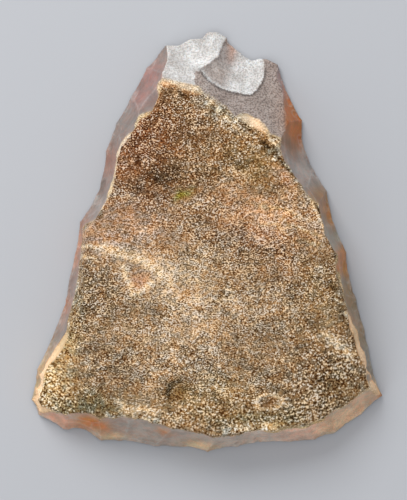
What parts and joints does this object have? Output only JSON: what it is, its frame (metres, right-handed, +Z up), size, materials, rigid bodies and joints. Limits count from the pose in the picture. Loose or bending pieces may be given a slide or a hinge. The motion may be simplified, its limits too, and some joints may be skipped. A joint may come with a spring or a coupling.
{
  "type": "unifacial stone tool",
  "caption": "Trapezoidal flaked stone scraper with a flat unworked underside, a rough skin on its back, steep flake scars along the edges and a thinned narrow end.",
  "frame": {"origin": "middle of the outline, at the height of the flat underside that the tool lies on", "axes": "+Z up out of the rough back, +Y towards the thinned narrow end, X across the working edge"},
  "size_m": [0.0706, 0.084, 0.0126],
  "materials": {
    "chalcedony": "rough pitted brown skin on the back, smooth translucent pink and grey stone in the scars"
  },
  "bodies": {
    "root": {"stone_tool": "chalcedony"}
  },
  "joints": []
}
